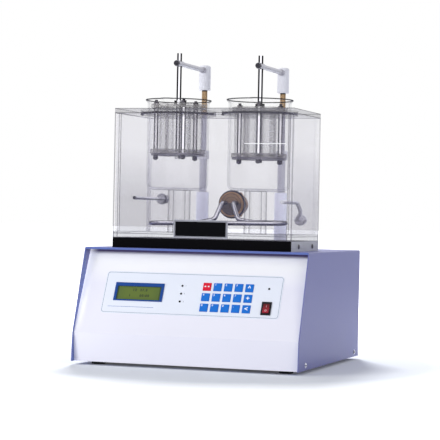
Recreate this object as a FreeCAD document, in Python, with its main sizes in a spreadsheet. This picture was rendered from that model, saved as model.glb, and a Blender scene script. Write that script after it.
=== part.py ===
import FreeCAD, Part
import math
import os
import re
import Sketcher

Vector = FreeCAD.Vector
Rotation = FreeCAD.Rotation
Placement = FreeCAD.Placement

# Two-station tablet disintegration tester, millimetres, +Z up.
# Origin: middle of the footprint, on the surface the rubber feet stand on.
# X runs left to right across the front, Y from the front to the back.

doc = FreeCAD.newDocument("DisintegrationTester")
sheet = doc.addObject("Spreadsheet::Sheet", "Dimensions")

DRIVING = {
    # cabinet
    "case_width": (395.0, "over the wrap cover"),
    "case_front_y": (-192.0, "lowest front edge of the side walls"),
    "case_rear_y": (188.0, "back edges of the cover"),
    "case_top_z": (196.0, "upper face of the cover"),
    "foot_height": (6.0, "rubber feet"),
    "foot_radius": (12.0, "rubber feet"),
    "sheet_metal": (1.5, "all folded sheet"),
    "nose_y": (-189.0, "side wall edge at the bend"),
    "nose_z": (54.0, "height of the bend"),
    "brow_y": (-142.0, "front edge of the cover's top"),
    "lip_drop": (3.5, "fold along the brow"),
    "sill_y": (-182.0, "foot of the front panel"),
    # sloping panel: positions on it are (across, up the slope, out)
    "panel_foot_y": (-186.5, "start of the slope"),
    "panel_tilt": (25.05, "from vertical, degrees"),
    "overlay_thick": (0.5, "printed sheet"),
    "lcd_across": (-92.5, "display centre"),
    "lcd_up": (75.5, "display centre"),
    "lcd_width": (78.0, "visible screen"),
    "lcd_height": (24.5, "visible screen"),
    "key_across": (26.1, "first column"),
    "key_pitch": (18.35, "between columns"),
    "key_up": (89.7, "first row"),
    "row_pitch": (18.55, "between rows"),
    "key_size": (14.0, "square cap"),
    "key_gap": (0.2, "round each cap"),
    "switch_across": (133.3, "rocker centre"),
    "switch_up": (54.9, "rocker centre"),
    "rocker_radius": (8.0, "half length of the rocker"),
    "rocker_width": (10.3, "across"),
    "led_radius": (1.8, "status lights"),
    # plinth and tank
    "tank_half": (159.0, "half width"),
    "tank_front_y": (-115.0, "outer front face"),
    "tank_rear_y": (47.0, "outer back face"),
    "tank_base_z": (213.0, "underside of the floor"),
    "tank_floor": (10.0, "floor thickness"),
    "tank_wall": (8.0, "wall and top plate thickness"),
    "tank_rim_z": (425.0, "top of the walls"),
    "hole_radius": (65.0, "openings in the top plate"),
    # stations
    "station_x": (74.0, "each side of the middle"),
    "station_y": (-34.0, "beaker and basket axis"),
    "station_drop": (6.0, "right-hand arm hangs this much lower"),
    "rod_y": (98.0, "drive rods, behind the tank"),
    "rod_radius": (5.0, "drive rods"),
    "fit_gap": (0.05, "radial clearance of sliding and seated rods"),
    # beakers
    "beaker_radius": (53.5, "outside"),
    "beaker_wall": (2.5, "glass"),
    "beaker_base_z": (296.0, "underside"),
    "beaker_rim_z": (452.0, "top"),
    "rim_radius": (57.0, "over the flared rim"),
    "stand_x": (69.5, "pedestals, each side of the middle"),
    "stand_radius": (19.5, "pedestal tube, outside"),
    "stand_bore": (11.0, "pedestal tube, inside"),
    # baskets, left-hand heights
    "plate_radius": (47.5, "both plates"),
    "plate_thick": (7.0, "both plates"),
    "lower_plate_z": (359.0, "underside"),
    "upper_plate_z": (437.0, "underside"),
    "tube_base_z": (362.75, "lower end of the glass tubes"),
    "tube_length": (77.5, "glass tubes"),
    "tube_radius": (13.0, "glass tubes, outside"),
    "bore_radius": (11.0, "glass tubes, inside"),
    "tube_circle": (30.0, "pitch radius of the tubes"),
    "tie_circle": (40.5, "pitch radius of the tie rods"),
    "tie_radius": (4.0, "tie rods"),
    "shaft_radius": (4.3, "basket shaft"),
    "shaft_top_z": (533.0, "left-hand shaft"),
    "arm_z": (515.0, "left-hand arm"),
    "arm_radius": (4.3, "round bar"),
    "cap_radius": (10.4, "white rod caps"),
    "cap_base_z": (479.0, "left-hand cap"),
    "cap_height": (45.0, "rod caps"),
    # drive
    "crank_z": (106.0, "crank axis"),
    "crank_throw": (27.5, "half of the 55 mm stroke"),
    "slot_height": (23.0, "crosshead slot"),
}

for row, (alias, (number, note)) in enumerate(DRIVING.items(), start=1):
    sheet.set("A%d" % row, note)
    sheet.set("B%d" % row, str(number))
    sheet.setAlias("B%d" % row, alias)
doc.recompute()

WORD = re.compile(r"[a-z]+(?:_[a-z]+)+")
nodes = []


def size(alias):
    """The number in one cell of the sheet."""
    return float(sheet.get(alias))


def bind(item, prop, text):
    """Bind a property to an expression in the sheet's words."""
    item.setExpression(prop, WORD.sub(lambda word: "Dimensions." + word.group(0), str(text)))


# ---------------------------------------------------------------- placing

TURNS = {
    "x": Rotation(Vector(0, 1, 0), 90),
    "y": Rotation(Vector(1, 0, 0), -90),
    "z": Rotation(),
    "-y": Rotation(Vector(1, 0, 0), 90),
    "-z": Rotation(Vector(1, 0, 0), 180),
    "-x": Rotation(Vector(0, 1, 0), -90),
}
SLOPE = Rotation(Vector(1, 0, 0), 90 - size("panel_tilt"))


def place(item, at, turn=None):
    """Put an item's origin at three expressions, after a turn."""
    item.Placement = Placement(Vector(), turn or Rotation())
    for letter, text in zip("xyz", at):
        bind(item, "Placement.Base." + letter, text)
    return item


def slope_point(across, up, out):
    """A point given in the sloping panel's own directions."""
    depth = "panel_foot_y + (%s) * sin(panel_tilt) - (%s) * cos(panel_tilt)" % (up, out)
    height = "nose_z + (%s) * cos(panel_tilt) + (%s) * sin(panel_tilt)" % (up, out)
    return (across, depth, height)


def add(kind, name, **sizes):
    """One parametric primitive with its sizes bound."""
    item = doc.addObject(kind, name)
    for prop, text in sizes.items():
        bind(item, prop, text)
    return item


def span(limits):
    """Length between two expressions."""
    return "(%s) - (%s)" % (limits[1], limits[0])


def block(name, xs, ys, zs):
    """A box between pairs of limits."""
    item = add("Part::Box", name, Length=span(xs), Width=span(ys), Height=span(zs))
    return place(item, (xs[0], ys[0], zs[0]))


def slope_block(name, across, up, out):
    """A box between pairs of limits on the sloping panel."""
    item = add("Part::Box", name, Length=span(across), Width=span(up), Height=span(out))
    return place(item, slope_point(across[0], up[0], out[0]), SLOPE)


def rod(name, radius, length, at, axis="z"):
    """A cylinder from a point along an axis."""
    item = add("Part::Cylinder", name, Radius=radius, Height=length)
    return place(item, at, TURNS[axis])


def slope_rod(name, radius, across, up, out):
    """A cylinder square to the sloping panel."""
    item = add("Part::Cylinder", name, Radius=radius, Height=span(out))
    return place(item, slope_point(across, up, out[0]), SLOPE)


def hexagon(name, radius, length, at, axis="z"):
    """A hexagonal prism, radius over the corners."""
    item = add("Part::Prism", name, Circumradius=radius, Height=length)
    item.Polygon = 6
    return place(item, at, TURNS[axis])


def dome(name, radius, rise, at, turn):
    """A shallow spherical cap, flat side at the point."""
    ball = (radius * radius + rise * rise) / (2 * rise)
    item = add("Part::Sphere", name, Radius=ball)
    item.Angle1 = math.degrees(math.asin((ball - rise) / ball))
    shift = turn.multVec(Vector(0, 0, ball - rise))
    at = ["(%s) - (%.6f)" % (text, step) for text, step in zip(at, shift)]
    return place(item, at, turn)


def group(name, parts):
    """Several separate solids that belong together."""
    item = doc.addObject("Part::Compound", name)
    item.Links = parts
    return item


def fuse(name, parts):
    """One solid from several that meet."""
    item = doc.addObject("Part::MultiFuse", name)
    item.Shapes = parts
    item.Refine = True
    return item


def cut(name, base, tools):
    """Take one or more tools out of a solid."""
    item = doc.addObject("Part::Cut", name)
    item.Base = base
    item.Tool = tools[0] if len(tools) == 1 else group(name + "Tools", tools)
    return item


def soften(name, base, radius, outward=Vector(0, 0, 1), pick=min):
    """Round the edges at the outer end, or with pick=max also those that run up to it."""
    doc.recompute()
    reaches = [[corner.Point.dot(outward) for corner in edge.Vertexes] for edge in base.Shape.Edges]
    top = max(max(reach) for reach in reaches)
    item = doc.addObject("Part::Fillet", name)
    item.Base = base
    item.Edges = [(number, radius, radius) for number, reach in enumerate(reaches, start=1)
                  if pick(reach) > top - 0.01]
    return item


def pipe(name, outer, inner, length, at, axis="z"):
    """A straight tube."""
    return cut(name, rod(name + "Out", outer, length, at, axis), [rod(name + "In", inner, length, at, axis)])


def node(label, item):
    """Name a finished sub-part."""
    item.Label = label
    nodes.append(item)
    return item


# ---------------------------------------------------------------- bodies

def origin_plane(body, role):
    """One of a body's own origin planes."""
    return [plane for plane in body.Origin.OriginFeatures if plane.Role == role][0]


def draw(body, role, corners):
    """A closed, fully constrained polygon on an origin plane."""
    sketch = body.newObject("Sketcher::SketchObject", body.Name + "Sketch")
    sketch.AttachmentSupport = [(origin_plane(body, role), "")]
    sketch.MapMode = "FlatFace"
    count = len(corners)
    for index in range(count):
        # rough positions on a circle: the bound distances settle them
        turn = 2 * math.pi * index / count
        after = 2 * math.pi * (index + 1) / count
        start = Vector(math.cos(turn), math.sin(turn), 0) * 10
        end = Vector(math.cos(after), math.sin(after), 0) * 10
        sketch.addGeometry(Part.LineSegment(start, end), False)
    for index in range(count):
        sketch.addConstraint(Sketcher.Constraint("Coincident", index, 2, (index + 1) % count, 1))
    for index, corner in enumerate(corners):
        for kind, text in zip(("DistanceX", "DistanceY"), corner):
            number = sketch.addConstraint(Sketcher.Constraint(kind, -1, 1, index, 1, 1.0))
            bind(sketch, "Constraints[%d]" % number, text)
    return sketch


def side_profile(name, corners, width):
    """A body drawn from the side (depth, height) and padded both ways across."""
    body = doc.addObject("PartDesign::Body", name)
    sketch = draw(body, "YZ_Plane", corners)
    pad = body.newObject("PartDesign::Pad", name + "Pad")
    pad.Profile = sketch
    pad.SideType = "Symmetric"
    bind(pad, "Length", width)
    doc.recompute()
    return body


def hollow(body, corners, width):
    """Pocket a side profile out of a body, both ways across."""
    before = body.Shape.Volume
    sketch = draw(body, "YZ_Plane", corners)
    pocket = body.newObject("PartDesign::Pocket", body.Name + "Pocket")
    pocket.Profile = sketch
    pocket.SideType = "Symmetric"
    bind(pocket, "Length", width)
    doc.recompute()
    if body.Shape.Volume >= before:
        raise ValueError("nothing cut from " + body.Name)


def turned(name, corners):
    """A body of revolution about Z from (radius, height) corners."""
    body = doc.addObject("PartDesign::Body", name)
    sketch = draw(body, "XZ_Plane", corners)
    turn = body.newObject("PartDesign::Revolution", name + "Turn")
    turn.Profile = sketch
    turn.ReferenceAxis = (sketch, ["V_Axis"])
    turn.Angle = 360
    doc.recompute()
    return body


def round_edges(body, radius, wanted):
    """Fillet the edges that a test picks out."""
    tip = body.Tip
    names = ["Edge%d" % (n + 1) for n, edge in enumerate(tip.Shape.Edges) if wanted(edge)]
    fillet = body.newObject("PartDesign::Fillet", "%sRound%d" % (body.Name, len(body.Group)))
    fillet.Base = (tip, names)
    bind(fillet, "Radius", radius)
    doc.recompute()


def circle_at(height, radius=None):
    """A test for whole circles at a height, and of a radius if given."""
    def test(edge):
        if abs(edge.BoundBox.ZMin - height) > 0.01 or abs(edge.BoundBox.ZMax - height) > 0.01:
            return False
        if not hasattr(edge.Curve, "Radius"):
            return False
        return radius is None or abs(edge.Curve.Radius - radius) < 0.01
    return test


def bent_path(points, bends):
    """A wire of straight runs with tangent arcs at the corners."""
    points = [Vector(*point) for point in points]
    edges = []
    last = points[0]
    for index in range(1, len(points) - 1):
        corner = points[index]
        back = (points[index - 1] - corner).normalize()
        ahead = (points[index + 1] - corner).normalize()
        half = back.getAngle(ahead) / 2
        reach = bends[index - 1] / math.tan(half)
        middle = (back + ahead).normalize()
        centre = corner + middle * (bends[index - 1] / math.sin(half))
        start = corner + back * reach
        end = corner + ahead * reach
        edges.append(Part.LineSegment(last, start).toShape())
        edges.append(Part.Arc(start, centre - middle * bends[index - 1], end).toShape())
        last = end
    edges.append(Part.LineSegment(last, points[-1]).toShape())
    return Part.Wire(edges)


def bent_rod(name, points, bends, radius):
    """A round bar along a bent path."""
    path = bent_path(points, bends)
    first = Vector(*points[0])
    along = (Vector(*points[1]) - first).normalize()
    ring = Part.Wire([Part.Circle(first, along, radius).toShape()])
    item = doc.addObject("Part::Feature", name)
    item.Shape = path.makePipeShell([ring], True, True)
    return item


# ---------------------------------------------------------------- cabinet

INSIDE = "case_width / 2 - sheet_metal"
LEAN = "(brow_y - nose_y) / (case_top_z - nose_z)"
SKIN = "sheet_metal * 1.0534"

# Wrap cover: top and both sides in one folded sheet, with a fold along the brow.
cover = side_profile("WrapCover", [
    ("case_front_y", "foot_height"),
    ("nose_y", "nose_z"),
    ("brow_y", "case_top_z"),
    ("case_rear_y", "case_top_z"),
    ("case_rear_y", "foot_height"),
], "case_width")
hollow(cover, [
    ("case_front_y - 20", "-20"),
    ("case_front_y - 20", "case_top_z - lip_drop"),
    ("brow_y + %s - lip_drop * %s" % (SKIN, LEAN), "case_top_z - lip_drop"),
    ("brow_y + %s - sheet_metal * %s" % (SKIN, LEAN), "case_top_z - sheet_metal"),
    ("case_rear_y + 20", "case_top_z - sheet_metal"),
    ("case_rear_y + 20", "-20"),
], "case_width - 2 * sheet_metal")
ROOF = size("case_top_z")
round_edges(cover, "2", lambda edge: edge.BoundBox.ZMin > ROOF - 0.01 and edge.BoundBox.YLength > 100)

SIDES = ((-1, "Left"), (1, "Right"))
SCREW_Y = ("case_front_y + 42.1", "case_front_y + 352.4")
PLINTH_Y = ("tank_front_y + 42.7", "tank_front_y + 124.4")

cover_holes = []
for sign, side in SIDES:
    at = ("%d * station_x" % sign, "rod_y", "case_top_z - 10")
    cover_holes.append(rod("Spigot" + side, "8.1", "20", at))
for index, depth in enumerate(SCREW_Y):
    at = ("-case_width / 2 - 10", depth, "14.1")
    cover_holes.append(rod("Bolt%d" % index, "2.1", "case_width + 20", at, "x"))
node("wrap_cover", cut("CoverDrilled", cover, cover_holes))

# Base tray: floor, back panel and low side flanges that take the side screws.
TRAY = "case_width / 2 - sheet_metal - 0.1"
tray_parts = [
    block("TrayFloor", ("-(%s)" % TRAY, TRAY), ("sill_y + sheet_metal", "case_rear_y"),
          ("foot_height", "foot_height + sheet_metal")),
    block("TrayBack", ("-(%s)" % TRAY, TRAY), ("case_rear_y - sheet_metal", "case_rear_y"),
          ("foot_height", "case_top_z - sheet_metal - 0.1")),
    block("TrayLeft", ("-(%s)" % TRAY, "-(%s) + sheet_metal" % TRAY), ("sill_y + 6", "case_rear_y"),
          ("foot_height", "foot_height + 16")),
    block("TrayRight", ("%s - sheet_metal" % TRAY, TRAY), ("sill_y + 6", "case_rear_y"),
          ("foot_height", "foot_height + 16")),
]
INLET_X = -140.0
inlet_hole = block("InletHole", (INLET_X - 14.1, INLET_X + 14.1),
                   ("case_rear_y - 5", "case_rear_y + 5"), (25.9, 68.1))
bolt_holes = [
    rod("TrayBolt%d" % index, "2.1", "case_width", ("-case_width / 2", depth, "14.1"), "x")
    for index, depth in enumerate(SCREW_Y)
]
node("base_tray", cut("Tray", fuse("TrayFolded", tray_parts), [inlet_hole] + bolt_holes))

# Rubber feet, each with a rounded lower edge.
foot = turned("Foot", [
    ("0", "0"), ("foot_radius - 1", "0"), ("foot_radius", "1"),
    ("foot_radius", "foot_height"), ("0", "foot_height"),
])
feet = []
for index, (x, y) in enumerate(((-165, -150), (165, -150), (-165, 150), (165, 150))):
    copy = doc.addObject("Part::Feature", "Foot%d" % index)
    copy.Shape = foot.Shape
    copy.Placement = Placement(Vector(x, y, 0), Rotation())
    feet.append(copy)
node("rubber_feet", group("Feet", feet))

# Dome-headed screws: two on each side of the cabinet, two on each side of the plinth.
screws = []
for sign, side in SIDES:
    turn = TURNS["x"] if sign > 0 else TURNS["-x"]
    rows = [("case_width / 2", depth, "14.1") for depth in SCREW_Y]
    rows += [("tank_half", depth, "204") for depth in PLINTH_Y]
    for index, (reach, depth, height) in enumerate(rows):
        name = "Screw%s%d" % (side, index)
        head = dome(name + "Head", 4.5, 2.2, ("%d * %s" % (sign, reach), depth, height), turn)
        start = "%d * (%s - 6)" % (sign, reach)
        shank = rod(name + "Shank", "2", "6.5", (start, depth, height), "x" if sign > 0 else "-x")
        screws.append(fuse(name, [head, shank]))
node("side_screws", group("SideScrews", screws))

# ---------------------------------------------------------------- sloping panel

KEYS = [(row, column) for row in range(3) for column in range(5)]


def key_centre(row, column):
    """Where one key sits on the slope."""
    return ("key_across + %d * key_pitch" % column, "key_up - %d * row_pitch" % row)


def around(centre, length, margin="0"):
    """Limits each side of a centre."""
    half = "(%s) / 2 + %s" % (length, margin)
    return ("%s - (%s)" % (centre, half), "%s + (%s)" % (centre, half))


LEDS = ((-17.5, 89.9), (-17.5, 75.9), (-17.5, 61.9), (133.1, 89.6))


def panel_holes(tag, margin):
    """Cutters for everything that comes through the panel."""
    tools = [slope_block(tag + "Lcd", around("lcd_across", "lcd_width", margin),
                         around("lcd_up - 1.5", "lcd_height", margin), (-5, 5))]
    for row, column in KEYS:
        across, up = key_centre(row, column)
        tools.append(slope_block("%sKey%d%d" % (tag, row, column), around(across, "key_size", "key_gap"),
                                 around(up, "key_size", "key_gap"), (-5, 5)))
    for index, (across, up) in enumerate(LEDS):
        tools.append(slope_rod("%sLed%d" % (tag, index), "led_radius + 0.05", across, up, (-5, 5)))
    tools.append(slope_block(tag + "Switch", around("switch_across", "15.5", margin),
                             around("switch_up", "22", margin), (-5, 5)))
    return tools


# White front panel: short upright sill, then the slope up to the cover.
RISE = "(case_top_z - sheet_metal - nose_z)"
panel = side_profile("FrontPanel", [
    ("sill_y", "foot_height"),
    ("panel_foot_y", "nose_z"),
    ("panel_foot_y + %s * tan(panel_tilt)" % RISE, "case_top_z - sheet_metal"),
    ("panel_foot_y + %s * tan(panel_tilt) + sheet_metal / cos(panel_tilt)" % RISE,
     "case_top_z - sheet_metal"),
    ("panel_foot_y + sheet_metal * 1.06", "nose_z"),
    ("sill_y + sheet_metal", "foot_height"),
], "case_width - 2 * sheet_metal - 0.2")
node("front_panel", cut("PanelCut", panel, panel_holes("Panel", "0.05")))

# Printed overlay with rounded corners.
OVERLAY = (("-155.5", "156.5"), ("37", "112.5"))
overlay_parts = [
    slope_block("OverlayWide", OVERLAY[0], ("37 + 6", "112.5 - 6"), ("0", "overlay_thick")),
    slope_block("OverlayTall", ("-155.5 + 6", "156.5 - 6"), OVERLAY[1], ("0", "overlay_thick")),
]
for index, (across, up) in enumerate(((-149.5, 43), (150.5, 43), (-149.5, 106.5), (150.5, 106.5))):
    overlay_parts.append(slope_rod("OverlayCorner%d" % index, "6", across, up, ("0", "overlay_thick")))
node("panel_overlay", cut("OverlayCut", fuse("OverlaySheet", overlay_parts), panel_holes("Overlay", "0.05")))

# Display: a raised bezel round a glass that stands on the display module.
bezel = slope_block("BezelBlock", around("lcd_across", "87"), around("lcd_up + 0.5", "32.5"),
                    ("overlay_thick", "overlay_thick + 1.3"))
window = slope_block("BezelWindow", around("lcd_across", "lcd_width", "0.05"),
                     around("lcd_up - 1.5", "lcd_height", "0.05"), (-5, 5))
node("lcd_bezel", cut("Bezel", bezel, [window]))
node("lcd_glass", slope_block("LcdGlass", around("lcd_across", "lcd_width"),
                              around("lcd_up - 1.5", "lcd_height"), (-2.5, "overlay_thick + 0.1")))

# Status lights: round bodies that reach back to the board.
lights = []
for index, (across, up) in enumerate(LEDS):
    body = slope_rod("LedBody%d" % index, "led_radius", across, up, (-12.4, 0.8))
    cap = dome("LedCap%d" % index, size("led_radius"), 1.0, slope_point(across, up, 0.8), SLOPE)
    lights.append(fuse("Led%d" % index, [body, cap]))
node("status_leds", group("StatusLeds", lights))

# Keys: square caps with eased edges, each with a stem that stops short of its switch on the board.
for row, column in KEYS:
    across, up = key_centre(row, column)
    tag = "Key%d%d" % (row + 1, column + 1)
    cap = slope_block(tag + "Cap", around(across, "key_size"), around(up, "key_size"), (-2.5, 1.7))
    cap = soften(tag + "Eased", cap, 0.9, SLOPE.multVec(Vector(0, 0, 1)), max)
    stem = slope_rod(tag + "Stem", "2", across, up, (-8, -2.5))
    node("key_r%dc%d" % (row + 1, column + 1), fuse(tag, [cap, stem]))

# Control board: circuit board, key switches, display module and standoffs.
board = slope_block("BoardSheet", (-150, 150), (35, 114), (-14, -12.4))
board = cut("BoardCut", board, [slope_block("BoardSlot", around("switch_across", "18"),
                                            around("switch_up", "26"), (-20, 0))])
module = slope_block("DisplayModule", around("lcd_across", "88"), around("lcd_up", "34"), (-12.4, -2.5))
board_parts = [board, module]
for row, column in KEYS:
    across, up = key_centre(row, column)
    tact = slope_block("Tact%d%d" % (row, column), around(across, "6.2"), around(up, "6.2"), (-12.4, -8.7))
    board_parts.append(tact)
for index, (across, up) in enumerate(((-143, 40), (143, 109), (-143, 109), (-30, 40))):
    board_parts.append(slope_rod("Standoff%d" % index, "3", across, up, (-12.4, "-sheet_metal")))
node("control_board", fuse("ControlBoard", board_parts))

# Power switch: a housing with a deep cavity, and the rocker that turns in it.
housing_parts = [
    slope_block("SwitchFlange", around("switch_across", "16.5"), around("switch_up", "23"),
                ("overlay_thick", "overlay_thick + 1.5")),
    slope_block("SwitchBox", around("switch_across", "15.5"), around("switch_up", "22"),
                (-20, "overlay_thick")),
]
for index, up in enumerate((-6, 6)):
    housing_parts.append(slope_block("Blade%d" % index, around("switch_across", "4.8"),
                                     around("switch_up + %d" % up, "0.8"), (-27, -20)))
cavity = slope_block("SwitchCavity", around("switch_across", "rocker_width", "0.1"),
                     around("switch_up", "2 * rocker_radius", "0.1"), (-10, 5))
sideways = SLOPE.multiply(TURNS["x"])


def rocker_bar(name, radius, length):
    """A cylinder across the rocker's pivot."""
    item = add("Part::Cylinder", name, Radius=radius, Height=length)
    start = slope_point("switch_across - (%s) / 2" % length, "switch_up", "1")
    return place(item, start, sideways)


node("switch_housing", cut("SwitchHousing", fuse("SwitchShell", housing_parts),
                           [cavity, rocker_bar("PinHole", "1.25", "rocker_width + 2.2")]))

ROCKER_REST = -7.0
rocker_parts = [rocker_bar("RockerDrum", "rocker_radius", "rocker_width"),
                rocker_bar("RockerPin", "1.2", "rocker_width + 2")]
trims = []
for index, tilt in enumerate((8.0, -8.0)):
    lean = Rotation(Vector(1, 0, 0), 90 - size("panel_tilt") + ROCKER_REST + tilt)
    trim = add("Part::Box", "RockerTrim%d" % index, Length="rocker_width + 4", Width="12", Height="14")
    forward = "0" if index == 0 else "-12"
    reach = lean.multVec(Vector(0, float(forward), 0.9))
    at = slope_point("switch_across - rocker_width / 2 - 2", "switch_up", "1")
    at = (at[0], "%s + (%.6f)" % (at[1], reach.y), "%s + (%.6f)" % (at[2], reach.z))
    trims.append(place(trim, at, lean))
node("power_rocker", cut("PowerRocker", fuse("RockerSolid", rocker_parts), trims))

# ---------------------------------------------------------------- plinth and tank

TANK_X = ("-tank_half", "tank_half")
TANK_Y = ("tank_front_y", "tank_rear_y")
INNER_X = ("-tank_half + tank_wall", "tank_half - tank_wall")
INNER_Y = ("tank_front_y + tank_wall", "tank_rear_y - tank_wall")
FLOOR_Z = "tank_base_z + tank_floor"

# Plinth: a black tray upside down between the cabinet and the tank.
plinth = cut("PlinthShell", block("PlinthBlock", TANK_X, TANK_Y, ("case_top_z", "tank_base_z")), [
    block("PlinthInside", ("-tank_half + 3", "tank_half - 3"), ("tank_front_y + 3", "tank_rear_y - 3"),
          ("case_top_z - 1", "tank_base_z - 3")),
    rod("PlinthBolt0", "2.1", "2 * tank_half + 4", ("-tank_half - 2", PLINTH_Y[0], "204"), "x"),
    rod("PlinthBolt1", "2.1", "2 * tank_half + 4", ("-tank_half - 2", PLINTH_Y[1], "204"), "x"),
])
node("plinth", plinth)

# Tank: clear floor and four walls, the back one drilled for the heater and the fittings.
HEATER_X = "3"
HEATER_Z = "273.5"
back = cut("TankBack", block("TankBackSheet", TANK_X, INNER_Y[1:] + TANK_Y[1:], (FLOOR_Z, "tank_rim_z")), [
    rod("HeaterHole", "15.05", "20", (HEATER_X, "tank_rear_y - 14", HEATER_Z), "y"),
    rod("InletBore", "4.05", "20", ("-129", "tank_rear_y - 14", "281"), "y"),
    rod("OutletBore", "4.05", "20", ("128.5", "tank_rear_y - 14", "248.6"), "y"),
])
walls = [
    block("TankFloor", TANK_X, TANK_Y, ("tank_base_z", FLOOR_Z)),
    block("TankFront", TANK_X, (TANK_Y[0], INNER_Y[0]), (FLOOR_Z, "tank_rim_z")),
    back,
    block("TankLeft", (TANK_X[0], INNER_X[0]), INNER_Y, (FLOOR_Z, "tank_rim_z")),
    block("TankRight", (INNER_X[1], TANK_X[1]), INNER_Y, (FLOOR_Z, "tank_rim_z")),
]
node("tank_panels", group("TankPanels", walls))

TOP_Z = ("tank_rim_z", "tank_rim_z + tank_wall")
round_holes = [
    rod("StationHole" + side, "hole_radius", "tank_wall + 4",
        ("%d * station_x" % sign, "station_y", "tank_rim_z - 2"))
    for sign, side in SIDES
]
node("tank_top_plate", cut("TopPlate", block("TopSheet", TANK_X, TANK_Y, TOP_Z), round_holes))

# Blank nameplate on the front of the tank.
node("nameplate", block("Nameplate", ("-48", "48"), ("tank_front_y - 1", "tank_front_y"), (214.7, 245.2)))

# Pedestals: short lengths of thick-walled clear tube with the upper edge eased.
stands = []
for sign, side in SIDES:
    at = ("%d * stand_x" % sign, "station_y")
    blank = rod("StandBlank" + side, "stand_radius", "beaker_base_z - (%s)" % FLOOR_Z, at + (FLOOR_Z,))
    stands.append(cut("Stand" + side, soften("StandEased" + side, blank, 1.0), [
        rod("StandBore" + side, "stand_bore", "beaker_base_z", at + ("tank_base_z",)),
    ]))
node("beaker_stands", group("BeakerStands", stands))

# Heater: gasket against the back wall, flange with its head outside, and a bent element.
WALL_Y = "tank_rear_y - tank_wall"
node("heater_gasket", pipe("Gasket", "25", "15.05", "2", (HEATER_X, WALL_Y + " - 2", HEATER_Z), "y"))
node("heater_flange", fuse("HeaterFlange", [
    pipe("FlangeRim", "22", "18.5", "2", (HEATER_X, WALL_Y + " - 7", HEATER_Z), "y"),
    rod("FlangeFace", "22", "4", (HEATER_X, WALL_Y + " - 6", HEATER_Z), "y"),
    rod("FlangeNeck", "15", "tank_wall + 12", (HEATER_X, WALL_Y + " - 4", HEATER_Z), "y"),
    hexagon("FlangeNut", "25", "7", (HEATER_X, "tank_rear_y", HEATER_Z), "y"),
    rod("FlangeHead", "17", "24", (HEATER_X, "tank_rear_y + 7", HEATER_Z), "y"),
]))
element_path = [
    (-7, 33, 276), (-7, 12, 276), (-16, 1, 247), (-44, -3, 240.5), (-120, -3, 238), (-120, -59, 238.5),
    (121, -59, 242), (121, -3, 243), (56, -3, 243), (27, 1, 247), (13, 12, 276), (13, 33, 276),
]
node("heater_element", bent_rod("HeaterElement", element_path, [9, 9, 12, 27, 27, 27, 27, 12, 9, 9], 4.0))

# Circulation fittings: straight pipe on the left, elbowed pipe on the right.
left_pipe = fuse("LeftPipe", [
    rod("LeftRun", "3", "150", ("-129", "-94", "281"), "y"),
    rod("LeftNeck", "4", "tank_wall + 22", ("-129", WALL_Y + " - 6", "281"), "y"),
    rod("LeftWasher", "10", "2", ("-129", WALL_Y + " - 2", "281"), "y"),
    hexagon("LeftHex", "8.6", "9", ("-129", WALL_Y + " - 11", "281"), "y"),
    hexagon("LeftNut", "8.6", "6", ("-129", "tank_rear_y", "281"), "y"),
])
elbow = bent_rod("ElbowRun", [(128.5, 34, 248.6), (128.5, 15, 248.6), (137, 12, 262),
                              (131.5, 6, 278), (131, -82, 278)], [4.5, 10, 6], 3.5)
right_pipe = fuse("RightPipe", [
    elbow,
    rod("RightNeck", "4", "tank_wall + 22", ("128.5", WALL_Y + " - 6", "248.6"), "y"),
    rod("RightWasher", "10", "2", ("128.5", WALL_Y + " - 2", "248.6"), "y"),
    hexagon("RightHex", "9.2", "10", ("128.5", WALL_Y + " - 12", "248.6"), "y"),
    hexagon("RightNut", "8.6", "6", ("128.5", "tank_rear_y", "248.6"), "y"),
])
node("circulation_fittings", group("Fittings", [left_pipe, right_pipe]))

# ---------------------------------------------------------------- guides and drive

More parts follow.
